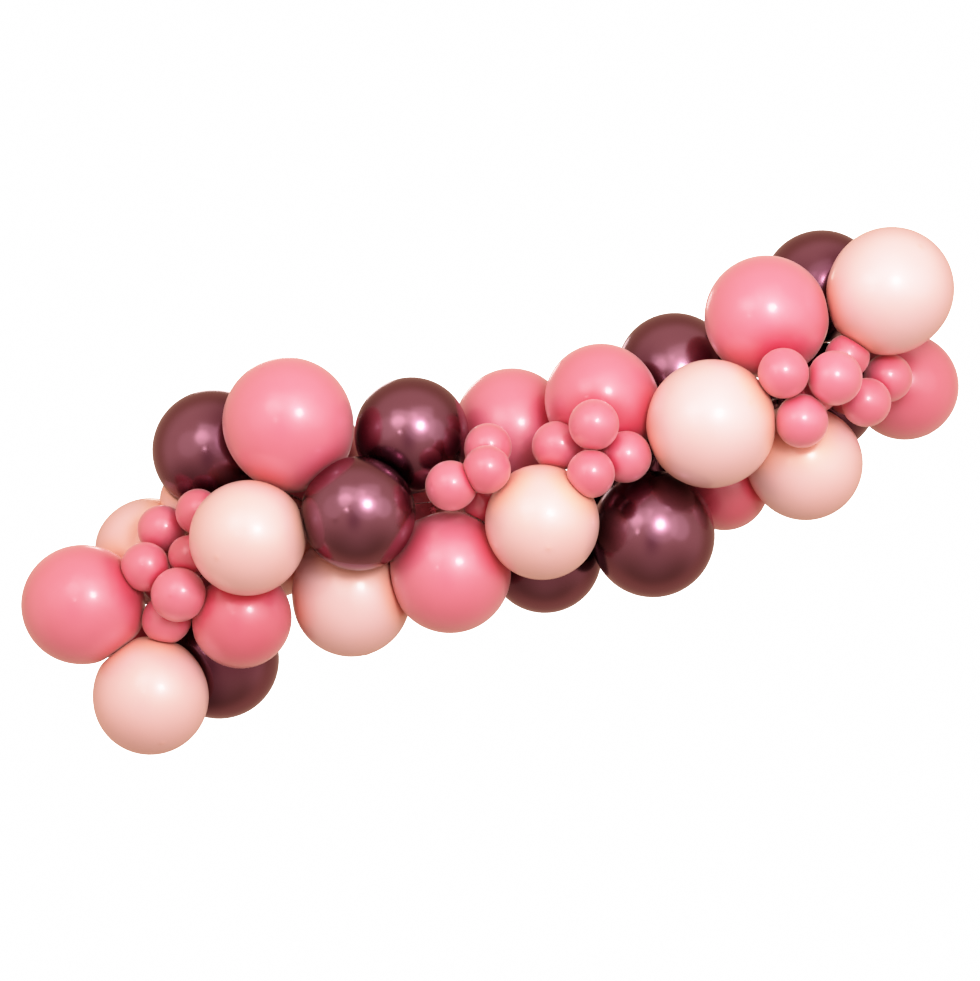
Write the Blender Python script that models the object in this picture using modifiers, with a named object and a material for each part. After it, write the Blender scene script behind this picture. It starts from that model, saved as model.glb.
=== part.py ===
# A hung balloon garland: latex balloons on a clear punched strip, sloping up from left to right.
#
# Metres. +X runs along the wall to the right, +Z is up and +Y points into the wall. The wall is the
# plane y = 0, and the origin is the middle of the back face of the strip's upper (right-hand) tab.
# Each balloon is one closed turned solid with its neck and knot. Where two balloons press together,
# both are flat along the plane where their round forms would meet.

import itertools
import math

import bmesh
import bpy
import numpy as np
from mathutils import Vector

CM = 0.01

# The clear strip.
STRIP_WIDTH = 0.015
STRIP_THICKNESS = 0.0016
HOLE_PITCH = 0.025
STRIP_STEP = 0.04
FLAT_END = 0.20
TWIST_LENGTH = 0.15
EDGE_ON = 90
SAMPLES_PER_SPAN = 60
# Course of the strip in cm: across, up, and out from the wall. Both ends lie flat on the wall.
STRIP_COURSE = (
    (-200, -63, 0.08),
    (-194, -63, 0.08),
    (-186, -62, 6),
    (-171, -66, 20),
    (-158, -57, 28),
    (-147, -43, 27),
    (-129, -43, 25),
    (-109, -41, 28),
    (-85, -38, 25),
    (-62, -31, 26),
    (-41, -22, 21),
    (-25, -13, 27),
    (-13, -4, 14),
    (-7, -1, 3),
    (-3, 0, 0.08),
    (3, 0, 0.08),
)

# Balloons on the strip, roughly from the lower end up: latex, diameter in cm, number of the strip hole
# that the knot is pulled to, clock angle round the strip in degrees (0 out from the wall, 90 up, 180
# to the wall, -90 down), lean towards the strip's upper end in degrees, and the reach in cm from the
# strip to where a round balloon of that diameter would begin.
BALLOONS = (
    ("blush", 25.0, 11, 95, 30, 1.5),
    ("blush", 24.5, 13, -50, 16, 10.5),
    ("blush", 13.5, 23, 130, -15, 13.5),
    ("rose", 25.5, 16, 15, -55, 4.5),
    ("rose", 14.0, 9, -105, 35, 3.0),
    ("plum_chrome", 26.0, 17, -125, 40, 5.0),
    ("rose", 21.5, 23, -70, 35, 2.5),
    ("plum_chrome", 26.5, 27, 115, -15, 6.5),
    ("blush", 24.0, 33, -20, -25, 8.0),
    ("blush", 25.5, 36, -85, 15, 6.5),
    ("rose", 21.5, 35, 130, -5, 5.5),
    ("rose", 27.5, 36, 60, -20, 9.5),
    ("blush", 24.0, 38, -145, -55, 10.5),
    ("plum_chrome", 24.0, 41, -5, -20, 3.0),
    ("rose", 24.0, 41, -170, 0, 3.0),
    ("rose", 26.0, 45, -75, 15, 3.0),
    ("plum_chrome", 24.5, 46, 85, -25, 3.5),
    ("blush", 19.0, 46, -175, 25, 6.5),
    ("plum_chrome", 25.0, 52, -120, 25, 5.0),
    ("blush", 24.0, 54, -25, 5, 4.5),
    ("rose", 25.0, 54, 125, -15, 5.5),
    ("rose", 24.0, 65, 70, -45, 5.0),
    ("plum_chrome", 26.5, 64, -80, 5, 4.0),
    ("blush", 27.0, 66, 20, 30, 3.5),
    ("plum_chrome", 22.0, 66, -160, -30, 5.5),
    ("plum_chrome", 25.5, 68, 125, -5, 6.5),
    ("rose", 19.5, 71, -115, 10, 4.5),
    ("plum_chrome", 24.5, 76, 170, 55, 4.0),
    ("blush", 24.5, 74, -65, 45, 5.0),
    ("rose", 26.0, 84, 45, -55, 7.5),
    ("blush", 26.5, 86, 40, 20, 6.0),
    ("plum_chrome", 26.0, 88, 110, -32, 1.5),
    ("rose", 23.5, 92, -80, 25, 3.0),
    ("plum_chrome", 17.0, 94, 60, 35, 2.5),
)

# Mini balloons, four tied in a quad and tucked between the large ones. A quad's own knot is given as
# hole, clock angle and distance out from the strip in cm; then its balloons, all in rose latex, as
# diameter, clock angle, lean and reach, measured from that knot.
MINI_QUADS = (
    (
        (20, 80, 9.0),
        ((10.5, 95, -45, 1.5), (9.5, 60, 20, 6.0), (8.5, -5, 15, 3.0), (10.5, -25, -45, 5.0)),
    ),
    (
        (21, -30, 3.0),
        ((11.5, 0, -10, 3.0), (10.5, -70, -40, 2.5), (9.0, 170, 20, 4.5), (9.0, 125, -65, 2.5)),
    ),
    (
        (49, 10, 11.5),
        ((10.0, 95, 15, 4.0), (10.0, 30, 15, 3.0), (10.5, 5, -45, 2.5), (8.5, -150, 10, 3.5)),
    ),
    (
        (59, 20, 14.5),
        ((10.5, 160, -65, 3.0), (10.5, 45, 0, 2.5), (11.0, -110, 80, 1.5), (10.0, -40, -5, 2.5)),
    ),
    (
        (79, 0, 13.0),
        ((10.5, 20, -40, 2.5), (11.5, 15, 55, 1.5), (11.0, -70, -5, 3.0), (10.0, -170, 30, 1.5)),
    ),
    (
        (85, -40, 10.0),
        ((9.5, 55, -10, 1.5), (10.5, 160, 75, 3.5), (10.5, -50, 25, 1.5), (9.0, -155, 0, 1.5)),
    ),
)

# How a balloon is formed. Angles are latitudes on the balloon, with the crown at 90. The half
# towards the knot is drawn out a little; rings below the widest one lie on that longer half. A tail
# runs from the balloon's centre to the tip of its knot. The longest reaches that far beyond the
# drawn-out half, and the shortest is a share of the radius. The gap is from the knot's tip to the
# point it is tied at.
LARGE_FORM = {
    "sides": 10,
    "latitudes": (60, 30, 0, -34, -64),
    "drawn_out": 1.12,
    "neck_radius": 0.0055,
    "knot_radius": 0.0075,
    "neck_length": 0.015,
    "longest_tail": 0.035,
    "shortest_tail": 1.0,
    "knot_gap": 0.012,
}
MINI_FORM = {
    "sides": 8,
    "latitudes": (50, 12, -28, -62),
    "drawn_out": 1.12,
    "neck_radius": 0.0030,
    "knot_radius": 0.0042,
    "neck_length": 0.009,
    "longest_tail": 0.025,
    "shortest_tail": 1.1,
    "knot_gap": 0.007,
}
# Where a knot starts, is widest and turns in to its blunt tip, in knot radii from that tip.
KNOT_START = 1.4
KNOT_WIDEST = 0.7
KNOT_TIP = 0.2

# Pressed contacts: the gap between two flats, how far apart round forms still count as pressed, and
# the room that a knot keeps from a neighbour.
CONTACT_GAP = 0.0003
CONTACT_REACH = 0.012
KNOT_CLEARANCE = 0.001

# Points closer than these are one point: on a turned profile's axis, on a cut plane, and after a cut.
AXIS_MERGE = 0.00005
ON_PLANE = 0.00001
CUT_MERGE = 0.00002

MATERIALS = {
    "rose": {"colour": (0.80, 0.22, 0.28, 1.0), "roughness": 0.35, "metallic": 0.0},
    "blush": {"colour": (0.88, 0.62, 0.56, 1.0), "roughness": 0.35, "metallic": 0.0},
    "plum_chrome": {"colour": (0.16, 0.045, 0.06, 1.0), "roughness": 0.25, "metallic": 0.9},
    "clear_strip": {"colour": (0.85, 0.87, 0.86, 1.0), "roughness": 0.15, "metallic": 0.0},
}


def clear_scene():
    """Removes every object of the file."""
    for obj in list(bpy.data.objects):
        bpy.data.objects.remove(obj, do_unlink=True)


def make_material(name):
    """A Principled material for one kind of latex or for the strip."""
    look = MATERIALS[name]
    material = bpy.data.materials.new(name)
    material.use_nodes = True
    shader = material.node_tree.nodes["Principled BSDF"]
    shader.inputs["Base Color"].default_value = look["colour"]
    shader.inputs["Roughness"].default_value = look["roughness"]
    shader.inputs["Metallic"].default_value = look["metallic"]
    return material


def strip_curve():
    """Points along the strip at an even step, as a smooth curve through its course, with lengths."""
    course = np.array(STRIP_COURSE) * CM
    knots = np.column_stack((course[:, 0], -course[:, 2], course[:, 1]))
    chord = np.linalg.norm(np.diff(knots, axis=0), axis=1)
    at = np.concatenate(([0.0], np.cumsum(chord)))
    slope = np.empty_like(knots)
    slope[1:-1] = (knots[2:] - knots[:-2]) / (at[2:] - at[:-2])[:, None]
    slope[:2] = (knots[1] - knots[0]) / chord[0]
    slope[-2:] = (knots[-1] - knots[-2]) / chord[-1]
    pieces = []
    for i, span in enumerate(chord):
        u = np.linspace(0.0, 1.0, SAMPLES_PER_SPAN, endpoint=False)[:, None]
        start = (2 * u**3 - 3 * u**2 + 1) * knots[i] + (u**3 - 2 * u**2 + u) * span * slope[i]
        end = (3 * u**2 - 2 * u**3) * knots[i + 1] + (u**3 - u**2) * span * slope[i + 1]
        pieces.append(start + end)
    points = np.vstack(pieces + [knots[-1:]])
    along = np.concatenate(([0.0], np.cumsum(np.linalg.norm(np.diff(points, axis=0), axis=1))))
    return points, along


def on_strip(strip, distance):
    """The point of the strip at a distance along it from its lower end."""
    points, along = strip
    return Vector([float(np.interp(distance, along, points[:, axis])) for axis in range(3)])


def direction(clock, lean):
    """Unit vector at a clock angle round the strip, leant towards the strip's upper end."""
    clock, lean = math.radians(clock), math.radians(lean)
    return Vector((math.sin(lean), -math.cos(lean) * math.cos(clock), math.cos(lean) * math.sin(clock)))


def make_strip(strip, collection, material):
    """The strip as a flat ribbon: broad face to the wall at both ends, edge-on to the front between."""
    total = strip[1][-1]
    count = round(total / STRIP_STEP)
    curve = bpy.data.curves.new("clear_strip", "CURVE")
    curve.dimensions = "3D"
    curve.twist_mode = "Z_UP"
    curve.extrude = (STRIP_WIDTH - STRIP_THICKNESS) / 2
    curve.bevel_depth = STRIP_THICKNESS / 2
    curve.bevel_resolution = 0
    curve.use_fill_caps = True
    spline = curve.splines.new("POLY")
    spline.points.add(count)
    for i, point in enumerate(spline.points):
        distance = total * i / count
        from_end = min(distance, total - distance)
        turned = min(max((from_end - FLAT_END) / TWIST_LENGTH, 0.0), 1.0)
        point.co = (*on_strip(strip, distance), 1.0)
        point.tilt = math.radians(EDGE_ON) * turned
    obj = bpy.data.objects.new("clear_strip", curve)
    obj.data.materials.append(material)
    collection.objects.link(obj)
    return obj


def drawn_half(spec):
    """Length of a balloon's half towards the knot."""
    return min(spec["form"]["drawn_out"] * spec["radius"], spec["tail"] - spec["form"]["neck_length"])


def balloon_profile(spec):
    """Half outline of a balloon, crown first: round crown, drawn-out lower half, neck, knot."""
    radius, tail, form = spec["radius"], spec["tail"], spec["form"]
    drawn = drawn_half(spec)
    outline = [(0.0, radius)]
    for latitude in form["latitudes"]:
        angle = math.radians(latitude)
        length = radius if latitude >= 0 else drawn
        outline.append((radius * math.cos(angle), length * math.sin(angle)))
    outline.append((form["neck_radius"], KNOT_START * form["knot_radius"] - tail))
    outline.append((form["knot_radius"], KNOT_WIDEST * form["knot_radius"] - tail))
    outline.append((form["neck_radius"], KNOT_TIP * form["knot_radius"] - tail))
    outline.append((0.0, -tail))
    return outline


def turned_mesh(name, outline, sides):
    """Mesh of an outline turned about Z by a Screw modifier."""
    profile = bpy.data.meshes.new(name)
    points = [(across, 0.0, up) for across, up in outline]
    profile.from_pydata(points, [(i, i + 1) for i in range(len(points) - 1)], [])
    obj = bpy.data.objects.new(name, profile)
    bpy.context.scene.collection.objects.link(obj)
    turn = obj.modifiers.new("turn", "SCREW")
    turn.steps = sides
    turn.render_steps = sides
    turn.use_merge_vertices = True
    turn.merge_threshold = AXIS_MERGE
    bpy.context.view_layer.update()
    evaluated = obj.evaluated_get(bpy.context.evaluated_depsgraph_get())
    mesh = bpy.data.meshes.new_from_object(evaluated)
    mesh.name = name
    bpy.data.objects.remove(obj, do_unlink=True)
    bpy.data.meshes.remove(profile)
    return mesh


def make_balloon(spec, collection, material):
    """One balloon, its crown pointing away from the knot it is tied at."""
    mesh = turned_mesh(spec["name"], balloon_profile(spec), spec["form"]["sides"])
    obj = bpy.data.objects.new(spec["name"], mesh)
    obj.data.materials.append(material)
    obj.location = spec["centre"]
    obj.rotation_euler = spec["axis"].to_track_quat("Z", "Y").to_euler()
    collection.objects.link(obj)
    return obj


def cut_flat(obj, point, normal):
    """Cuts off what lies beyond a plane in world space and closes the cut with a flat face."""
    to_local = obj.matrix_world.inverted()
    body = bmesh.new()
    body.from_mesh(obj.data)
    cut = bmesh.ops.bisect_plane(
        body,
        geom=body.verts[:] + body.edges[:] + body.faces[:],
        dist=ON_PLANE,
        plane_co=to_local @ point,
        plane_no=to_local.to_3x3() @ normal,
        clear_outer=True,
    )
    rim = [item for item in cut["geom_cut"] if isinstance(item, bmesh.types.BMEdge)]
    if rim:
        bmesh.ops.holes_fill(body, edges=rim)
        bmesh.ops.remove_doubles(body, verts=body.verts[:], dist=CUT_MERGE)
        bmesh.ops.recalc_face_normals(body, faces=body.faces[:])
        body.to_mesh(obj.data)
    body.free()


def reach_towards(spec, towards):
    """How far a balloon's round form reaches from its centre in a direction."""
    along = spec["axis"].dot(towards)
    length = spec["radius"] if along >= 0 else drawn_half(spec)
    across = math.sqrt(max(1 - along**2, 0.0))
    return 1 / math.hypot(across / spec["radius"], along / length)


def contact_plane(first, second):
    """Plane where two neighbouring balloons' round forms meet, or None if they are well apart."""
    between = second["centre"] - first["centre"]
    distance = between.length
    normal = between / distance
    first_reach = reach_towards(first, normal)
    second_reach = reach_towards(second, -normal)
    if distance > first_reach + second_reach + CONTACT_REACH:
        return None
    to_plane = (distance**2 + first_reach**2 - second_reach**2) / (2 * distance)
    return first["centre"] + normal * to_plane, normal


def press_together(first, second):
    """Gives two neighbouring balloons flat faces on either side of the plane between them."""
    contact = contact_plane(first, second)
    if contact is None:
        return
    middle, normal = contact
    half_gap = normal * (CONTACT_GAP / 2)
    cut_flat(first["object"], middle - half_gap, normal)
    cut_flat(second["object"], middle + half_gap, -normal)


def shorten_tail(spec, neighbour):
    """Draws a balloon's knot in where it would run into a neighbour."""
    contact = contact_plane(spec, neighbour)
    if contact is None:
        return
    middle, normal = contact
    knot_end = spec["centre"] - spec["axis"] * spec["tail"]
    beyond = (knot_end - middle).dot(normal) + spec["form"]["knot_radius"] + KNOT_CLEARANCE
    towards = -spec["axis"].dot(normal)
    if beyond > 0 and towards > 0:
        spec["tail"] = max(spec["tail"] - beyond / towards, spec["form"]["shortest_tail"] * spec["radius"])


def balloon_spec(name, latex, knot, placing, form):
    """Place, size and tail length of one balloon tied at a knot point."""
    diameter, clock, lean, reach = placing
    radius = diameter * CM / 2
    axis = direction(clock, lean)
    stand_off = radius + reach * CM
    longest = form["drawn_out"] * radius + form["longest_tail"]
    return {
        "name": name,
        "latex": latex,
        "radius": radius,
        "axis": axis,
        "centre": knot + axis * stand_off,
        "tail": min(stand_off - form["knot_gap"], longest),
        "form": form,
    }


def garland_specs(strip):
    """Every balloon of the garland: large ones at their holes, minis at their quads' knots."""
    specs = []
    made = {}
    for latex, diameter, hole, clock, lean, reach in BALLOONS:
        made[latex] = made.get(latex, 0) + 1
        name = f"{latex}_{made[latex]:02d}"
        knot = on_strip(strip, hole * HOLE_PITCH)
        specs.append(balloon_spec(name, latex, knot, (diameter, clock, lean, reach), LARGE_FORM))
    number = 0
    for (hole, quad_clock, out), minis in MINI_QUADS:
        knot = on_strip(strip, hole * HOLE_PITCH) + direction(quad_clock, 0) * (out * CM)
        for placing in minis:
            number += 1
            name = f"rose_mini_{number:02d}"
            specs.append(balloon_spec(name, "rose", knot, placing, MINI_FORM))
    return specs


def build():
    """The whole garland, in a collection of its own."""
    clear_scene()
    collection = bpy.data.collections.new("balloon_garland")
    bpy.context.scene.collection.children.link(collection)
    materials = {name: make_material(name) for name in MATERIALS}
    strip = strip_curve()
    make_strip(strip, collection, materials["clear_strip"])
    specs = garland_specs(strip)
    for first, second in itertools.permutations(specs, 2):
        shorten_tail(first, second)
    for spec in specs:
        spec["object"] = make_balloon(spec, collection, materials[spec["latex"]])
    bpy.context.view_layer.update()
    for first, second in itertools.combinations(specs, 2):
        press_together(first, second)
    for spec in specs:
        spec["object"].data.shade_smooth()


build()
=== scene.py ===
# Looks of the hung balloon garland. The frame holds each balloon as a coarse solid; here every one is made
# again round the same centre and axis, as a fine skin with pressed flats, a gathered neck, a wound knot and
# a rolled lip. The clear strip gets its punched holes.
import math

import bpy
import numpy as np
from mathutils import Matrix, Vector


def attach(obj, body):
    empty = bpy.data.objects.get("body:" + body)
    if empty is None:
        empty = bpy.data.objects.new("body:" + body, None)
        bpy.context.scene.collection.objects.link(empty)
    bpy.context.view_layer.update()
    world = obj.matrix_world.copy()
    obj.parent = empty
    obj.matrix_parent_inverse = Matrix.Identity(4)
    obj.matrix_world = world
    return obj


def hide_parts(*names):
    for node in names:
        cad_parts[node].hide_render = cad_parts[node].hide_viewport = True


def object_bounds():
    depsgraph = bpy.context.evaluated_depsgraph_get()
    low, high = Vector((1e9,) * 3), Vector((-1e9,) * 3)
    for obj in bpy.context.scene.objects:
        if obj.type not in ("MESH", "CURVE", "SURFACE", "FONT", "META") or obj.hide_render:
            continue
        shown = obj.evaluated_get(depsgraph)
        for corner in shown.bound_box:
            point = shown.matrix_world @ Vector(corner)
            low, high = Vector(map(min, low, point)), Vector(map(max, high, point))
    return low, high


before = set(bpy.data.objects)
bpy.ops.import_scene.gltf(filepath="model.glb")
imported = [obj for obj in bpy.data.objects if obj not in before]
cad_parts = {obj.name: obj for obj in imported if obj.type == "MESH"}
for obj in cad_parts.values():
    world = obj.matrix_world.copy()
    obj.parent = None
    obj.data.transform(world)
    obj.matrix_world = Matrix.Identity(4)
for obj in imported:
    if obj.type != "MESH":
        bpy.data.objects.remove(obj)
cadBox = [[float(x) for x in corner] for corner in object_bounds()]
print("frame loaded:", len(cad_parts), "nodes")


def smooth(t):
    # 3t² - 2t³ between 0 and 1
    t = np.clip(t, 0.0, 1.0)
    return t * t * (3 - 2 * t)


def nodeCorners(node):
    # every different corner of a frame node, as rows of x, y, z
    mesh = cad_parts[node].data
    flat = np.empty(len(mesh.vertices) * 3, np.float32)
    mesh.vertices.foreach_get("co", flat)
    return np.unique(flat.reshape(-1, 3).astype(float), axis=0)


def newPiece(name, points, faces, material, replaced):
    mesh = bpy.data.meshes.new(name)
    mesh.from_pydata(points, [], faces)
    mesh.materials.append(material)
    mesh.shade_smooth()
    piece = bpy.data.objects.new(name, mesh)
    bpy.context.scene.collection.objects.link(piece)
    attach(piece, "root")
    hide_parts(replaced)
    return piece


def turnedFaces(rings, columns):
    # faces of a closed turned form: point 0 is the first pole, then the rings, then the last pole
    column = np.arange(columns)
    following = (column + 1) % columns
    ring = 1 + np.arange(rings - 1)[:, None] * columns
    onward = ring + columns
    quads = np.stack((ring + column, onward + column, onward + following, ring + following), axis=2)
    lastRing = 1 + (rings - 1) * columns
    lastPole = lastRing + columns
    start = np.stack((np.zeros(columns, int), 1 + column, 1 + following), axis=1)
    end = np.stack((lastRing + column, np.full(columns, lastPole), lastRing + following), axis=1)
    return start.tolist() + quads.reshape(-1, 4).tolist() + end.tolist()


largeBalloon = {
    "sides": 10,             # of the frame's solid
    "fullRadius": 0.126,     # blown up less than this, the latex stays thicker and deeper in colour
    "widestLatitude": 0,     # degrees, the ring of it that stands out furthest
    "drawnOut": 1.12,        # length of the half towards the knot, in radii
    "neckLength": 0.015,
    "columns": 128,
    "crownRows": 26,
    "lowerRows": 22,
    "neckRows": 12,
    "knotRows": 16,
    "neckRadius": 0.0042,
    "knotRadius": 0.0072,
    "lipRadius": 0.0066,
    "knotLength": 0.0125,    # neck to lip
    "rollRadius": 0.0008,
    "nippleRadius": 0.0055,
    "nippleHeight": 0.0009,
}
miniBalloon = {
    "sides": 8,
    "fullRadius": 0.055,
    "widestLatitude": 12,
    "drawnOut": 1.12,
    "neckLength": 0.009,
    "columns": 72,
    "crownRows": 18,
    "lowerRows": 16,
    "neckRows": 8,
    "knotRows": 12,
    "neckRadius": 0.0025,
    "knotRadius": 0.0040,
    "lipRadius": 0.0037,
    "knotLength": 0.0072,
    "rollRadius": 0.0005,
    "nippleRadius": 0.0035,
    "nippleHeight": 0.0005,
}
pressing = {
    "reach": 0.012,          # round forms this near still share a plane
    "gap": 0.0003,
    "softness": 0.022,       # how gradually a flat starts, in radii
}
neckOutline = {
    "leaving": 0.42,         # pulls of the neck's cubic curve, as shares of its length
    "arriving": 0.26,
    "thickReach": 0.34,      # radii from the axis, within which the latex thickens to the neck
    "spotReach": 1.3,        # of the darker spot on the crown, in nipple radii
    "pleatStart": 0.35,      # share of the neck's length
    "freedomLeft": 0.02,     # how far a neighbour may still press it at the knot
}
knotOutline = {
    "humpAt": 0.40,          # shares of the knot's length
    "humpReach": 0.19,
    "flareAt": 0.68,
    "pleatFade": 0.5,        # pleat depth lost along the knot
    "lipRoll": (40, 90, 140, 190),                 # degrees round the lip's small circle
    "lipLean": 0.9,          # radians, turns that circle outwards
    "lipInset": 0.9,         # roll radii, keeps it on the flare
    "dish": ((0.62, 0.10), (0.30, 0.16)),          # across in lip radii, up in knot lengths
}
gathering = {
    "latitude": 60,          # degrees below the middle, where the neck starts to draw in
    "pleats": 14,
    "pleatDepth": 0.09,
    "windings": 2,           # lumps round the wound knot
    "windingDepth": 0.15,
    "windingTurn": 5.0,
}


def readBalloon(node):
    # The knot's tip is the corner whose nearest neighbours, a whole ring of them, are closest. The ring's
    # plane gives the axis. The corner furthest from the axis is on the widest ring, at a known latitude.
    form = miniBalloon if "mini" in node else largeBalloon
    corners = nodeCorners(node)
    apart = np.linalg.norm(corners[:, None] - corners[None], axis=2)
    ringReach = np.sort(apart, axis=1)[:, form["sides"]]
    tip = np.argmin(ringReach)
    ring = corners[(apart[tip] > 0.5 * ringReach[tip]) & (apart[tip] < 1.001 * ringReach[tip])]
    axis = np.linalg.svd(ring - ring.mean(axis=0))[2][2]
    fromTip = corners - corners[tip]
    axis *= np.sign(fromTip.mean(axis=0) @ axis)
    height = fromTip @ axis
    across = np.linalg.norm(fromTip - height[:, None] * axis, axis=1)
    widest = np.argmax(across)
    latitude = math.radians(form["widestLatitude"])
    radius = across[widest] / math.cos(latitude)
    tail = height[widest] - radius * math.sin(latitude)
    return {"node": node, "form": form, "axis": axis, "radius": radius, "tail": tail,
            "centre": corners[tip] + axis * tail}


def drawnHalf(balloon):
    form = balloon["form"]
    return min(form["drawnOut"] * balloon["radius"], balloon["tail"] - form["neckLength"])


def reachTowards(balloons, directions):
    # Distance from each centre to its round form: a sphere on the crown's side, and on the knot's side
    # an ellipse, 1 / sqrt((across / radius)² + (along / drawn half)²) for a unit direction.
    axes = np.array([balloon["axis"] for balloon in balloons])
    radii = np.array([balloon["radius"] for balloon in balloons])
    drawn = np.array([drawnHalf(balloon) for balloon in balloons])
    along = (axes * directions).sum(axis=1)
    length = np.where(along >= 0, radii, drawn)
    return 1 / np.sqrt((1 - along**2) / radii**2 + along**2 / length**2)


def pressedPlanes(balloon, others):
    # Planes where this balloon meets its neighbours and the wall, as outward normals and distances from
    # its centre. Between two balloons a plane is at (d² + r1² - r2²) / 2d along the line between their
    # centres, less half the gap. r1 and r2 are how far the two reach towards each other.
    between = np.array([other["centre"] for other in others]) - balloon["centre"]
    distance = np.linalg.norm(between, axis=1)
    normals = between / distance[:, None]
    reach = reachTowards([balloon] * len(others), normals)
    theirs = reachTowards(others, -normals)
    near = distance < reach + theirs + pressing["reach"]
    toPlane = (distance**2 + reach**2 - theirs**2) / (2 * distance) - pressing["gap"] / 2
    normals = np.vstack((normals[near], [0.0, 1.0, 0.0]))
    toWall = cadBox[1][1] - balloon["centre"][1] - pressing["gap"]
    return normals, np.append(toPlane[near], toWall)


def balloonProfile(balloon, finish):
    # Half outline from crown to lip as rows of (distance from axis, height), with four values for each
    # row: how thick the latex is, how far a neighbour may press it, how deeply it is pleated, and how
    # much the knot's windings show.
    form, radius, tail = balloon["form"], balloon["radius"], balloon["tail"]
    drawn = drawnHalf(balloon)
    # crown half: a circle, with closer rows near the crown and a small nipple on it
    turn = np.pi / 2 * np.linspace(0, 1, form["crownRows"] + 1)**1.25
    across = radius * np.sin(turn)
    nipple = np.exp(-(across / form["nippleRadius"])**2)
    crown = np.column_stack((across, radius * np.cos(turn) + form["nippleHeight"] * nipple))
    # lower half: an ellipse of the drawn-out length
    turn = np.pi / 2 + np.radians(gathering["latitude"]) * np.linspace(0, 1, form["lowerRows"] + 1)[1:]
    lower = np.column_stack((radius * np.sin(turn), drawn * np.cos(turn)))
    # neck: a cubic curve that leaves along the ellipse and arrives along the axis
    neckEnd = np.array([form["neckRadius"], form["knotLength"] - tail])
    leaving = np.array([radius * np.cos(turn[-1]), -drawn * np.sin(turn[-1])])
    leaving /= np.linalg.norm(leaving)
    reach = np.linalg.norm(neckEnd - lower[-1])
    t = np.linspace(0, 1, form["neckRows"] + 1)[1:, None]
    first = lower[-1] + leaving * reach * neckOutline["leaving"]
    second = neckEnd + np.array([0.0, neckOutline["arriving"] * reach])
    neck = (1 - t)**3 * lower[-1] + 3 * (1 - t)**2 * t * first + 3 * (1 - t) * t**2 * second + t**3 * neckEnd
    # knot: a hump on the neck, then a flare to the lip
    s = np.linspace(0, 1, form["knotRows"] + 1)[1:]
    hump = np.exp(-((s - knotOutline["humpAt"]) / knotOutline["humpReach"])**2)
    flare = smooth((s - knotOutline["flareAt"]) / (1 - knotOutline["flareAt"]))
    knotAcross = form["neckRadius"] + (form["knotRadius"] - form["neckRadius"]) * hump
    knotAcross += (form["lipRadius"] - form["neckRadius"]) * flare
    knot = np.column_stack((knotAcross, form["knotLength"] * (1 - s) - tail + form["rollRadius"] * flare))
    # lip: half a small circle rolled outwards and under, then the dished end
    roll = np.radians(np.array(knotOutline["lipRoll"]))
    outwards = np.sin(roll + knotOutline["lipLean"]) - knotOutline["lipInset"]
    lipAcross = form["lipRadius"] + form["rollRadius"] * outwards
    lip = np.column_stack((lipAcross, form["rollRadius"] * (1 + np.cos(roll)) - tail))
    dish = np.array(knotOutline["dish"]) * [form["lipRadius"], form["knotLength"]] - [0, tail]
    rows = np.vstack((crown, lower, neck, knot, lip, dish))
    nearKnot = smooth(1 - rows[:, 0] / (neckOutline["thickReach"] * radius)) * (rows[:, 1] < 0)
    spotRadius = neckOutline["spotReach"] * form["nippleRadius"]
    spot = finish["crownSpot"] * np.exp(-(rows[:, 0] / spotRadius)**2) * (rows[:, 1] > 0)
    slack = finish["slackness"] * max(0.0, 1 - radius / form["fullRadius"])
    slack = min(slack, finish["slackLimit"])
    thick = np.maximum(nearKnot, spot) * (1 - slack) + slack
    bodyRows = len(crown) + len(lower)
    free = np.ones(len(rows))
    free[bodyRows:bodyRows + len(neck)] = smooth(1 - t[:, 0]) + neckOutline["freedomLeft"]
    free[bodyRows + len(neck):] = 0
    pleat = np.zeros(len(rows))
    pleated = (t[:, 0] - neckOutline["pleatStart"]) / (1 - neckOutline["pleatStart"])
    pleat[bodyRows:bodyRows + len(neck)] = smooth(pleated)
    knotRows = slice(bodyRows + len(neck), bodyRows + len(neck) + len(knot))
    pleat[knotRows] = 1 - knotOutline["pleatFade"] * s
    wound = np.zeros(len(rows))
    wound[knotRows] = hump
    return rows, thick, free, pleat, wound


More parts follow.
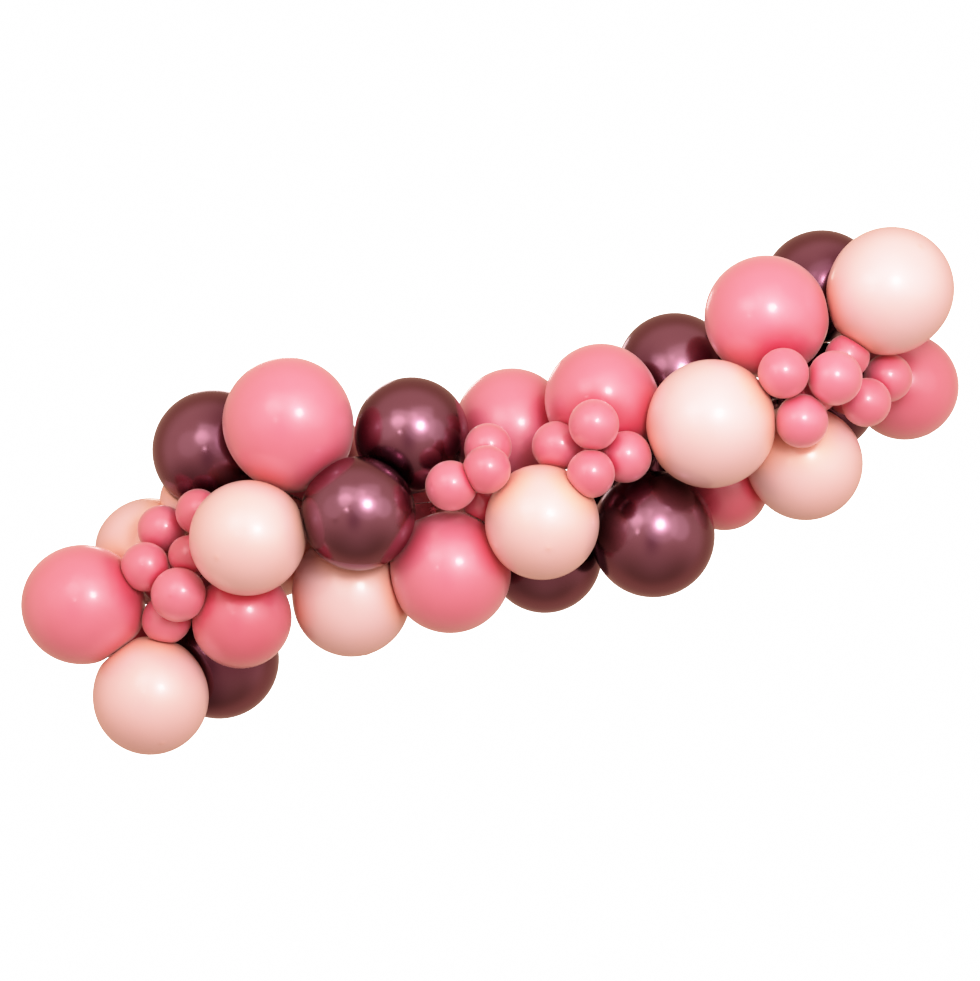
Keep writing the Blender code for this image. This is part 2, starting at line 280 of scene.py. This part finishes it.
def makeBalloon(balloon, others, material, finish):
    # Each point lies at across·(cos u, sin u) + height·axis from the centre. Pleats and windings scale
    # `across`. Neighbours then scale the whole vector by a soft minimum of 1 and q, where q is the distance
    # to each plane over the point's own distance along that plane's normal:
    # scale = 1 - s·ln(1 + sum of exp((1 - q) / s)).
    rows, thick, free, pleat, wound = balloonProfile(balloon, finish)
    axis, columns = balloon["axis"], balloon["form"]["columns"]
    aside = np.cross(axis, [0.0, 0.0, 1.0] if abs(axis[2]) < 0.9 else [0.0, 1.0, 0.0])
    aside /= np.linalg.norm(aside)
    around = 2 * np.pi * np.arange(columns) / columns
    ringDirections = np.cos(around)[:, None] * aside + np.sin(around)[:, None] * np.cross(axis, aside)
    ripple = 1 + gathering["pleatDepth"] * pleat[:, None] * np.cos(gathering["pleats"] * around)
    twist = gathering["windingTurn"] * np.cumsum(wound)[:, None] / len(wound)
    lumps = gathering["windings"] * around + twist
    ripple += gathering["windingDepth"] * wound[:, None] * np.cos(lumps)
    across = rows[1:, 0, None] * ripple[1:]
    grid = across[:, :, None] * ringDirections + rows[1:, 1, None, None] * axis
    poles = np.array([axis * rows[0, 1], axis * rows[-1, 1]])
    points = np.vstack((poles[:1], grid.reshape(-1, 3), poles[1:]))
    freedom = np.concatenate((free[:1], np.repeat(free[1:], columns), [0.0]))
    normals, distances = pressedPlanes(balloon, others)
    along = points @ normals.T
    pressed = freedom > 0
    q = distances / np.maximum(along[pressed], 1e-4)
    s = pressing["softness"] * freedom[pressed, None]
    crowding = np.exp(np.clip((1 - q) / s, -60, 60)).sum(axis=1)
    points[pressed] *= (1 - s[:, 0] * np.log1p(crowding))[:, None]
    # painted shade: how close the skin is to its neighbours, the wall left out, which darkens its colour in
    # the
    # crevices: 1 - product of (1 - exp(-(clearance in radii / reach)²))
    clearance = (distances[:-1] - points @ normals[:-1].T) / balloon["radius"]
    paintedShadeAmount = 1 - np.prod(1 - np.exp(-(clearance / finish["paintedShadeReach"])**2), axis=1)
    thick = np.concatenate((thick[:1], np.repeat(thick[1:], columns), thick[-1:]))
    points += balloon["centre"]
    faces = turnedFaces(len(rows) - 1, columns)
    piece = newPiece(balloon["node"] + "_skin", points.tolist(), faces, material,
                     balloon["node"])
    thickness = piece.data.attributes.new("thickness", "FLOAT", "POINT")
    thickness.data.foreach_set("value", thick)
    # the painted crevice shade goes on the skin as a point attribute
    paintedCreviceShade = piece.data.attributes.new("paintedCreviceShade", "FLOAT", "POINT")
    paintedCreviceShade.data.foreach_set("value", paintedShadeAmount)
    return piece


stripShape = {
    "width": 0.015,
    "thickness": 0.0016,
    "holePitch": 0.025,
    "holeRadius": 0.0032,
    "flatEnd": 0.20,         # each end lies flat on the wall this far, then the strip turns edge-on
    "twistLength": 0.15,
    "roundCorners": 12,      # points round a hole are four times this
    "cellSteps": (0.0, 0.12, 0.45, 1.0),           # from a hole's rim out to its cell's edge
    "rimRounding": 0.72,     # thickness at a hole's rim, as a share of the strip's
    "spanPoints": 60,        # of the path, between two places of the course
    "sampling": 0.004,       # metres each way, for the strip's direction
}
# course of the strip in metres: across, up, and out from the wall
stripCourse = (
    (-2.00, -0.63, 0.0008),
    (-1.94, -0.63, 0.0008),
    (-1.86, -0.62, 0.06),
    (-1.71, -0.66, 0.20),
    (-1.58, -0.57, 0.28),
    (-1.47, -0.43, 0.27),
    (-1.29, -0.43, 0.25),
    (-1.09, -0.41, 0.28),
    (-0.85, -0.38, 0.25),
    (-0.62, -0.31, 0.26),
    (-0.41, -0.22, 0.21),
    (-0.25, -0.13, 0.27),
    (-0.13, -0.04, 0.14),
    (-0.07, -0.01, 0.03),
    (-0.03, 0.0, 0.0008),
    (0.03, 0.0, 0.0008),
)


def stripPath():
    # a smooth cubic through the course: each span is a Hermite curve with the slopes of its neighbours
    course = np.array(stripCourse)
    knots = np.column_stack((course[:, 0], -course[:, 2], course[:, 1]))
    chord = np.linalg.norm(np.diff(knots, axis=0), axis=1)
    at = np.concatenate(([0.0], np.cumsum(chord)))
    slope = np.empty_like(knots)
    slope[1:-1] = (knots[2:] - knots[:-2]) / (at[2:] - at[:-2])[:, None]
    slope[:2] = (knots[1] - knots[0]) / chord[0]
    slope[-2:] = (knots[-1] - knots[-2]) / chord[-1]
    u = np.linspace(0, 1, stripShape["spanPoints"], endpoint=False)[None, :, None]
    span = chord[:, None, None]
    points = (2 * u**3 - 3 * u**2 + 1) * knots[:-1, None] + (u**3 - 2 * u**2 + u) * span * slope[:-1, None]
    points += (3 * u**2 - 2 * u**3) * knots[1:, None] + (u**3 - u**2) * span * slope[1:, None]
    points = np.vstack((points.reshape(-1, 3), knots[-1:]))
    along = np.concatenate(([0.0], np.cumsum(np.linalg.norm(np.diff(points, axis=0), axis=1))))
    return points, along


def onStripFace(distance, offset, lift, path):
    # a point of the strip: distance along it, offset across its width, lift off its middle plane
    points, along = path
    place = np.column_stack([np.interp(distance, along, points[:, i]) for i in range(3)])
    step = stripShape["sampling"]
    ahead = np.column_stack([np.interp(distance + step, along, points[:, i]) for i in range(3)])
    behind = np.column_stack([np.interp(distance - step, along, points[:, i]) for i in range(3)])
    tangent = ahead - behind
    tangent /= np.linalg.norm(tangent, axis=1)[:, None]
    level = np.cross(tangent, [0.0, 0.0, 1.0])
    level /= np.linalg.norm(level, axis=1)[:, None]
    upright = np.cross(level, tangent)
    fromEnd = np.minimum(distance, along[-1] - distance)
    twist = np.clip((fromEnd - stripShape["flatEnd"]) / stripShape["twistLength"], 0, 1)
    turned = np.pi / 2 * twist[:, None]
    across = np.cos(turned) * upright + np.sin(turned) * level
    normal = np.cross(tangent, across)
    return place + offset[:, None] * across + lift[:, None] * normal


def makeStrip(material):
    # Every pitch of the strip is one cell with a hole. Its face is a grid from the hole's circle out to the
    # cell's rectangle: (1 - t)·circle + t·rectangle, both read at the same angle. The two faces are joined
    # round the hole and along both edges, and the strip's ends are capped.
    path = stripPath()
    total = path[1][-1]
    halfWidth, halfThick = stripShape["width"] / 2, stripShape["thickness"] / 2
    cells = int(total // stripShape["holePitch"])
    halfPitch = total / cells / 2
    side = stripShape["roundCorners"]
    edge = np.linspace(-1, 1, side, endpoint=False)
    one = np.ones(side)
    rectangle = np.vstack((
        np.column_stack((one, edge)), np.column_stack((-edge, one)),
        np.column_stack((-one, -edge)), np.column_stack((edge, -one)))) * [halfPitch, halfWidth]
    angle = np.arctan2(rectangle[:, 1], rectangle[:, 0])
    circle = stripShape["holeRadius"] * np.column_stack((np.cos(angle), np.sin(angle)))
    t = np.array(stripShape["cellSteps"])[:, None, None]
    flat = (1 - t) * circle + t * rectangle
    count = len(angle)
    rings = len(t)
    lift = np.full((rings, count), halfThick)
    lift[0] *= stripShape["rimRounding"]
    cell = np.vstack((np.dstack((flat, lift)).reshape(-1, 3), np.dstack((flat, -lift)).reshape(-1, 3)))
    middles = (np.arange(cells) + 0.5) * 2 * halfPitch
    distance = (middles[:, None] + cell[:, 0]).ravel()
    offset = np.tile(cell[:, 1], cells)
    lifts = np.tile(cell[:, 2], cells)
    points = onStripFace(np.clip(distance, 0, total), offset, lifts, path)
    around = np.arange(count)
    following = (around + 1) % count
    ring = np.arange(rings - 1)[:, None] * count
    onward = ring + count
    top = np.stack((ring + around, onward + around, onward + following, ring + following), axis=2)
    top = top.reshape(-1, 4)
    bottom = top[:, ::-1] + rings * count
    hole = np.stack((around, following, following + rings * count, around + rings * count), axis=1)
    outer = (rings - 1) * count
    onEdge = np.concatenate((np.arange(side, 2 * side), np.arange(3 * side, 4 * side)))
    rim = np.stack((outer + onEdge, outer + onEdge + rings * count,
                    outer + following[onEdge] + rings * count, outer + following[onEdge]), axis=1)
    faces = np.vstack((top, bottom, hole, rim))
    everyCell = (faces[None] + (np.arange(cells) * len(cell))[:, None, None]).reshape(-1, 4)
    first, last = outer + np.arange(2 * side, 3 * side), outer + np.arange(side)
    lastCell = (cells - 1) * len(cell)
    caps = [np.stack((edgeRow, edgeRow + rings * count, following[edgeRow - outer] + outer + rings * count,
                      following[edgeRow - outer] + outer), axis=1) + shift
            for edgeRow, shift in ((first, 0), (last, lastCell))]
    faces = np.vstack([everyCell] + caps)
    strip = newPiece("clear_strip_tape", points.tolist(), faces.tolist(), material,
                     "clear_strip")
    weld = strip.modifiers.new("joinCells", "WELD")
    weld.merge_threshold = 0.00001
    return strip


roseFinish = {
    "slot": "rose_latex",
    "thin": (0.76, 0.200, 0.285, 1.0),             # where the latex is stretched
    "thick": (0.53, 0.045, 0.080, 1.0),            # at the neck and knot
    # between: painted shade, a deeper crimson painted into the crevices where a neighbour is close
    "between": (0.62, 0.055, 0.110, 1.0),          # where a neighbour is close
    "paintedShadeReach": 0.13,       # how far off, in radii, a neighbour still tells
    "slackness": 2.3,        # how fast a smaller balloon gains thickness
    "slackLimit": 0.65,      # and how much of it at most
    "crownSpot": 0.15,
    "roughness": 0.45,
    "gloss": 1.0,
    "metallic": 0.0,
    "coat": 1.0,
    "coatRoughness": 0.17,
    "bloom": 0.5,            # soft powdery sheen at grazing angles
    "bloomRoughness": 0.5,
    "bloomColour": (1.0, 0.76, 0.72, 1.0),
    "edgeTint": (1.0, 1.0, 1.0, 1.0),
    "grain": 0.04,
    "ripple": 0.0,
}
blushFinish = {
    "slot": "blush_latex",
    "thin": (0.83, 0.600, 0.605, 1.0),
    "thick": (0.83, 0.46, 0.34, 1.0),
    # between: painted shade, a warm peach painted into the crevices where a neighbour is close
    "between": (0.92, 0.53, 0.40, 1.0),
    "paintedShadeReach": 0.15,
    "slackness": 2.4,
    "slackLimit": 0.3,
    "crownSpot": 0.2,
    "roughness": 0.45,
    "gloss": 1.0,
    "metallic": 0.0,
    "coat": 0.8,
    "coatRoughness": 0.17,
    "bloom": 0.3,
    "bloomRoughness": 0.4,
    "bloomColour": (1.0, 0.72, 0.58, 1.0),
    "edgeTint": (1.0, 1.0, 1.0, 1.0),
    "grain": 0.04,
    "ripple": 0.0,
}
plumFinish = {
    "slot": "plum_chrome_latex",
    "thin": (0.255, 0.118, 0.166, 1.0),
    "thick": (0.07, 0.014, 0.022, 1.0),
    # between: painted shade, a darker plum painted into the crevices where a neighbour is close
    "between": (0.12, 0.035, 0.062, 1.0),
    "paintedShadeReach": 0.2,
    "slackness": 0.0,
    "slackLimit": 0.0,
    "crownSpot": 0.15,
    "roughness": 0.21,
    "gloss": 0.5,
    "metallic": 1.0,
    "coat": 0.5,
    "coatRoughness": 0.20,
    "bloom": 0.0,
    "bloomRoughness": 0.4,
    "bloomColour": (1.0, 0.8, 0.7, 1.0),
    "edgeTint": (0.8, 0.75, 0.75, 1.0),            # mutes the chrome's pale rim
    "grain": 0.03,
    "ripple": 0.12,
}
latexTexture = {
    "cloudScale": 11.0,
    "cloudRange": (0.35, 0.65),                    # of the noise that counts
    "cloudDepth": 0.07,      # added to the thickness at most
    "grainScale": 420.0,
    "grainHeight": 0.0006,
    "rippleScale": 16.0,
    "rippleHeight": 0.004,
}
stripFinish = {
    "colour": (0.94, 0.965, 0.955, 1.0),
    "roughness": 0.12,
    "ior": 1.46,
    "scratch": 0.05,
    "scratchScale": 240.0,
    "scratchHeight": 0.0004,
}


def newMaterial(name):
    material = bpy.data.materials.new(name)
    material.use_nodes = True
    nodes = material.node_tree.nodes
    return material, nodes, material.node_tree.links, nodes["Principled BSDF"]


def latexMaterial(name, finish):
    # Stretched latex: thin skin colour, deeper where the latex is thick at neck, knot and crown, with
    # painted shade in the crevices where a neighbour is close, a faint cloudiness, a fine grain in the
    # surface and, on chrome skins, a slow ripple.
    material, nodes, links, shader = newMaterial(name)
    place = nodes.new("ShaderNodeTexCoord").outputs["Object"]
    thickness = nodes.new("ShaderNodeAttribute")
    thickness.attribute_name = "thickness"
    cloud = nodes.new("ShaderNodeTexNoise")
    cloud.inputs["Scale"].default_value = latexTexture["cloudScale"]
    cloud.inputs["Detail"].default_value = 3.0
    links.new(place, cloud.inputs["Vector"])
    clouded = nodes.new("ShaderNodeMapRange")
    clouded.inputs["From Min"].default_value = latexTexture["cloudRange"][0]
    clouded.inputs["From Max"].default_value = latexTexture["cloudRange"][1]
    clouded.inputs["To Max"].default_value = latexTexture["cloudDepth"]
    links.new(cloud.outputs["Fac"], clouded.inputs["Value"])
    depth = nodes.new("ShaderNodeMath")
    depth.operation = "ADD"
    links.new(thickness.outputs["Fac"], depth.inputs[0])
    links.new(clouded.outputs["Result"], depth.inputs[1])
    colour = nodes.new("ShaderNodeMix")
    colour.data_type = "RGBA"
    colour.inputs["A"].default_value = finish["thin"]
    colour.inputs["B"].default_value = finish["thick"]
    links.new(depth.outputs["Value"], colour.inputs["Factor"])
    # painted shade: the crevice colour is mixed in where a neighbour is close
    paintedCreviceShade = nodes.new("ShaderNodeAttribute")
    paintedCreviceShade.attribute_name = "paintedCreviceShade"
    paintedShadeMix = nodes.new("ShaderNodeMix")
    paintedShadeMix.data_type = "RGBA"
    paintedShadeMix.inputs["B"].default_value = finish["between"]
    links.new(colour.outputs["Result"], paintedShadeMix.inputs["A"])
    links.new(paintedCreviceShade.outputs["Fac"], paintedShadeMix.inputs["Factor"])
    links.new(paintedShadeMix.outputs["Result"], shader.inputs["Base Color"])
    grain = nodes.new("ShaderNodeTexNoise")
    grain.inputs["Scale"].default_value = latexTexture["grainScale"]
    grain.inputs["Detail"].default_value = 2.0
    links.new(place, grain.inputs["Vector"])
    bump = nodes.new("ShaderNodeBump")
    bump.inputs["Strength"].default_value = finish["grain"]
    bump.inputs["Distance"].default_value = latexTexture["grainHeight"]
    links.new(grain.outputs["Fac"], bump.inputs["Height"])
    if finish["ripple"] > 0:
        slow = nodes.new("ShaderNodeTexNoise")
        slow.inputs["Scale"].default_value = latexTexture["rippleScale"]
        slow.inputs["Detail"].default_value = 1.0
        links.new(place, slow.inputs["Vector"])
        ripple = nodes.new("ShaderNodeBump")
        ripple.inputs["Strength"].default_value = finish["ripple"]
        ripple.inputs["Distance"].default_value = latexTexture["rippleHeight"]
        links.new(slow.outputs["Fac"], ripple.inputs["Height"])
        links.new(ripple.outputs["Normal"], bump.inputs["Normal"])
    links.new(bump.outputs["Normal"], shader.inputs["Normal"])
    shader.inputs["Metallic"].default_value = finish["metallic"]
    shader.inputs["Roughness"].default_value = finish["roughness"]
    shader.inputs["Specular IOR Level"].default_value = finish["gloss"]
    shader.inputs["Specular Tint"].default_value = finish["edgeTint"]
    shader.inputs["Coat Weight"].default_value = finish["coat"]
    shader.inputs["Coat Roughness"].default_value = finish["coatRoughness"]
    shader.inputs["Sheen Weight"].default_value = finish["bloom"]
    shader.inputs["Sheen Roughness"].default_value = finish["bloomRoughness"]
    shader.inputs["Sheen Tint"].default_value = finish["bloomColour"]
    return material


def stripMaterial(finish):
    # clear bendy plastic with faint scuffs along it
    material, nodes, links, shader = newMaterial("clearTape")
    scuff = nodes.new("ShaderNodeTexNoise")
    scuff.inputs["Scale"].default_value = finish["scratchScale"]
    links.new(nodes.new("ShaderNodeTexCoord").outputs["Object"], scuff.inputs["Vector"])
    bump = nodes.new("ShaderNodeBump")
    bump.inputs["Strength"].default_value = finish["scratch"]
    bump.inputs["Distance"].default_value = finish["scratchHeight"]
    links.new(scuff.outputs["Fac"], bump.inputs["Height"])
    links.new(bump.outputs["Normal"], shader.inputs["Normal"])
    shader.inputs["Base Color"].default_value = finish["colour"]
    shader.inputs["Roughness"].default_value = finish["roughness"]
    shader.inputs["IOR"].default_value = finish["ior"]
    shader.inputs["Transmission Weight"].default_value = 1.0
    return material


studio = {
    "cameraDistance": 5.006,
    "frameWidth": 2.107,     # metres across the picture at the garland
    "aimAside": 0.0012,
    "aimDrop": 0.0069,
    "floorDrop": 1.45,       # below the garland
    "floorRadius": 3.6,
    "floorColour": (0.62, 0.84, 0.94, 1.0),    # cool, as the room's light is warm
    "floorLift": 0.2,        # its own faint glow, which keeps it pale
    "ceiling": (1.02, 0.70, 0.60, 1.0),
    "belowLight": (0.37, 0.23, 0.16, 1.0),
    "belowHeights": (-0.05, -1.0),                 # the ceiling's light gives way to it between these
    "wallShade": (0.64, 0.38, 0.28, 1.0),
    "wallDepths": (-0.10, 0.45),                   # the wall's shade sets in between these
    "backdropStrength": 2.5,
    "patches": (
        {"kind": "ADD", "colour": (0.22, 0.17, 0.17, 1.0), "towards": (0.0, -0.6, -0.8),
         "reach": (0.9, 0.9, 0.9)},
        {"kind": "MULTIPLY", "colour": (0.55, 0.45, 0.55, 1.0), "towards": (-0.09, -0.97, -0.2),
         "reach": (0.4, 0.6, 0.6)},
    ),
    "whiteLevel": 2.0,       # brightness that the tone curve's end stands for
    "toneCurve": ((0.02, 0.028), (0.05, 0.085), (0.12, 0.235), (0.3, 0.6), (0.45, 0.845), (0.56, 0.93),
                  (0.75, 0.985)),
}
# softboxes: metres right, ahead and up of the garland's middle, width, height, brightness, colour
lamps = {
    "keyBox": (0.86, 2.81, 0.94, 0.62, 0.62, 22.0, (1.0, 0.985, 0.99)),
    "keyGlow": (0.86, 2.81, 0.94, 1.1, 1.1, 4.0, (1.0, 0.96, 1.03)),
    "keyHaze": (0.86, 2.81, 0.94, 1.9, 1.9, 1.6, (1.0, 0.95, 1.05)),
    "keyWide": (0.86, 2.81, 0.94, 3.6, 3.6, 0.40, (1.0, 0.96, 1.03)),
    "leftBox": (-1.25, 2.3, 1.15, 1.2, 1.2, 1.5, (1.0, 0.97, 0.98)),
    "leftSpot": (-1.0, 2.2, 0.24, 0.16, 0.16, 14.0, (1.0, 0.96, 0.95)),
    "nearTop": (-0.5, 1.4, 1.00, 1.5, 0.8, 0.9, (1.0, 0.98, 1.0)),
    "nearTopRight": (0.5, 1.2, 1.3, 1.3, 0.8, 0.5, (1.0, 0.98, 1.0)),
    "leftSoft": (-2.3, 2.0, 0.6, 2.2, 2.2, 0.25, (1.0, 0.96, 0.98)),
    "rightSoft": (2.4, 2.0, 0.6, 2.2, 2.2, 0.55, (1.0, 0.98, 1.02)),
    "backBox": (-0.9, -2.7, 1.1, 0.7, 0.7, 2.2, (1.0, 0.98, 0.98)),
}


def garlandCentre():
    return (np.array(cadBox[0]) + np.array(cadBox[1])) / 2


def makeCamera():
    middle = garlandCentre()
    camera = bpy.data.objects.new("camera", bpy.data.cameras.new("camera"))
    camera.data.sensor_fit = "HORIZONTAL"
    camera.data.sensor_width = 36
    camera.data.lens = 36 * studio["cameraDistance"] / studio["frameWidth"]
    camera.data.clip_end = 60
    camera.location = middle + (studio["aimAside"], -studio["cameraDistance"], -studio["aimDrop"])
    camera.rotation_euler = (math.pi / 2, 0, 0)
    bpy.context.scene.collection.objects.link(camera)
    bpy.context.scene.camera = camera


def makeLamp(name, right, ahead, up, width, height, brightness, colour):
    # an area lamp aimed at the garland's middle; its power is brightness × pi × its area
    towards = np.array([right, -ahead, up])
    light = bpy.data.lights.new(name, "AREA")
    light.shape = "ELLIPSE" if width == height else "RECTANGLE"
    light.size, light.size_y = width, height
    area = width * height * (math.pi / 4 if width == height else 1)
    light.energy = brightness * math.pi * area
    light.color = colour
    lamp = bpy.data.objects.new(name, light)
    lamp.location = garlandCentre() + towards
    lamp.visible_camera = False
    tilt = math.asin(up / np.linalg.norm(towards))
    lamp.rotation_euler = (math.pi / 2 - tilt, 0, math.atan2(right, ahead))
    bpy.context.scene.collection.objects.link(lamp)


def makeFloor():
    # a round pale floor that fades out at its edge
    middle = garlandCentre()
    rings, columns = 24, 96
    angle = 2 * np.pi * np.arange(columns) / columns
    radius = studio["floorRadius"] * np.arange(1, rings + 1) / rings
    disc = radius[:, None, None] * np.column_stack((np.cos(angle), np.sin(angle)))
    points = np.vstack(([[0, 0]], disc.reshape(-1, 2)))
    level = cadBox[0][2] - studio["floorDrop"]
    points = np.column_stack((points + middle[:2], np.full(len(points), level)))
    column = np.arange(columns)
    following = (column + 1) % columns
    ring = 1 + np.arange(rings - 1)[:, None] * columns
    onward = ring + columns
    quads = np.stack((ring + column, onward + column, onward + following, ring + following), axis=2)
    inner = np.stack((np.zeros(columns, int), 1 + column, 1 + following), axis=1)
    mesh = bpy.data.meshes.new("floor")
    mesh.from_pydata(points.tolist(), [], inner.tolist() + quads.reshape(-1, 4).tolist())
    floor = bpy.data.objects.new("floor", mesh)
    bpy.context.scene.collection.objects.link(floor)
    material, nodes, links, shader = newMaterial("paleFloor")
    shader.inputs["Base Color"].default_value = studio["floorColour"]
    shader.inputs["Emission Color"].default_value = (1.0, 1.0, 1.0, 1.0)
    shader.inputs["Emission Strength"].default_value = studio["floorLift"]
    shader.inputs["Roughness"].default_value = 0.8
    mapping = nodes.new("ShaderNodeMapping")
    centre = (middle[0], middle[1], level)
    mapping.inputs["Location"].default_value = [-at / studio["floorRadius"] for at in centre]
    mapping.inputs["Scale"].default_value = [1 / studio["floorRadius"]] * 3
    links.new(nodes.new("ShaderNodeTexCoord").outputs["Object"], mapping.inputs["Vector"])
    fade = nodes.new("ShaderNodeTexGradient")
    fade.gradient_type = "SPHERICAL"
    links.new(mapping.outputs["Vector"], fade.inputs["Vector"])
    edge = nodes.new("ShaderNodeMapRange")
    edge.interpolation_type = "SMOOTHSTEP"
    edge.inputs["From Max"].default_value = 0.55
    links.new(fade.outputs["Fac"], edge.inputs["Value"])
    links.new(edge.outputs["Result"], shader.inputs["Alpha"])
    mesh.materials.append(material)
    floor.visible_glossy = False
    floor.visible_diffuse = False


def softPatch(nodes, links, direction, patch):
    # 1 in the middle of a patch of sky and 0 beyond its reach, smoothly; the reach differs along x, y and z
    placed = nodes.new("ShaderNodeMapping")
    shift = [-at / reach for at, reach in zip(patch["towards"], patch["reach"])]
    placed.inputs["Location"].default_value = shift
    placed.inputs["Scale"].default_value = [1 / reach for reach in patch["reach"]]
    links.new(direction, placed.inputs["Vector"])
    gradient = nodes.new("ShaderNodeTexGradient")
    gradient.gradient_type = "SPHERICAL"
    links.new(placed.outputs["Vector"], gradient.inputs["Vector"])
    smoothed = nodes.new("ShaderNodeMapRange")
    smoothed.interpolation_type = "SMOOTHSTEP"
    links.new(gradient.outputs["Fac"], smoothed.inputs["Value"])
    return smoothed.outputs["Result"]


def smoothBetween(nodes, links, value, low, high):
    between = nodes.new("ShaderNodeMapRange")
    between.interpolation_type = "SMOOTHSTEP"
    between.inputs["From Min"].default_value = low
    between.inputs["From Max"].default_value = high
    links.new(value, between.inputs["Value"])
    return between.outputs["Result"]


def blend(nodes, links, kind, amount, below, colour):
    layer = nodes.new("ShaderNodeMix")
    layer.data_type = "RGBA"
    layer.blend_type = kind
    layer.inputs["B"].default_value = colour
    links.new(amount, layer.inputs["Factor"])
    links.new(below, layer.inputs["A"])
    return layer.outputs["Result"]


def makeRoom():
    # White to the eye. For lighting, a bright soft ceiling, a dimmer warm room below, warm shade from
    # the wall the garland hangs by, light off the ground in front and the dark shape of someone there.
    world = bpy.data.worlds.new("softRoom")
    bpy.context.scene.world = world
    world.use_nodes = True
    nodes, links = world.node_tree.nodes, world.node_tree.links
    nodes.clear()
    direction = nodes.new("ShaderNodeTexCoord").outputs["Generated"]
    split = nodes.new("ShaderNodeSeparateXYZ")
    links.new(direction, split.inputs["Vector"])
    ceiling = nodes.new("ShaderNodeRGB").outputs["Color"]
    ceiling.default_value = studio["ceiling"]
    belowUs = smoothBetween(nodes, links, split.outputs["Z"], *studio["belowHeights"])
    colour = blend(nodes, links, "MIX", belowUs, ceiling, studio["belowLight"])
    wallward = smoothBetween(nodes, links, split.outputs["Y"], *studio["wallDepths"])
    colour = blend(nodes, links, "MIX", wallward, colour, studio["wallShade"])
    for patch in studio["patches"]:
        amount = softPatch(nodes, links, direction, patch)
        colour = blend(nodes, links, patch["kind"], amount, colour, patch["colour"])
    room = nodes.new("ShaderNodeBackground")
    links.new(colour, room.inputs["Color"])
    white = nodes.new("ShaderNodeBackground")
    white.inputs["Color"].default_value = (1, 1, 1, 1)
    white.inputs["Strength"].default_value = studio["backdropStrength"]
    seen = nodes.new("ShaderNodeMixShader")
    links.new(nodes.new("ShaderNodeLightPath").outputs["Is Camera Ray"], seen.inputs["Fac"])
    links.new(room.outputs["Background"], seen.inputs[1])
    links.new(white.outputs["Background"], seen.inputs[2])
    output = nodes.new("ShaderNodeOutputWorld")
    links.new(seen.outputs["Shader"], output.inputs["Surface"])


def toneResponse():
    # film-like shoulder: brightness up to the white level is bent to fit below white
    view = bpy.context.scene.view_settings
    view.view_transform = "Standard"
    view.use_curve_mapping = True
    view.curve_mapping.white_level = [studio["whiteLevel"]] * 3
    tone = view.curve_mapping.curves[3]
    for x, y in studio["toneCurve"]:
        tone.points.new(x, y)
    view.curve_mapping.update()


finishes = {"rose": roseFinish, "blush": blushFinish, "plum_chrome": plumFinish}
materials = {latex: latexMaterial(latex + "_latex", finish) for latex, finish in finishes.items()}
balloons = [readBalloon(node) for node in sorted(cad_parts) if node != "clear_strip"]
print("balloons read:", len(balloons))
for balloon in balloons:
    others = [other for other in balloons if other is not balloon]
    latex = next(kind for kind in finishes if balloon["node"].startswith(kind))
    makeBalloon(balloon, others, materials[latex], finishes[latex])
print("balloons made")
makeStrip(stripMaterial(stripFinish))
print("strip made")
makeCamera()
for name, settings in lamps.items():
    makeLamp(name, *settings)
makeFloor()
makeRoom()
toneResponse()
print("studio ready")
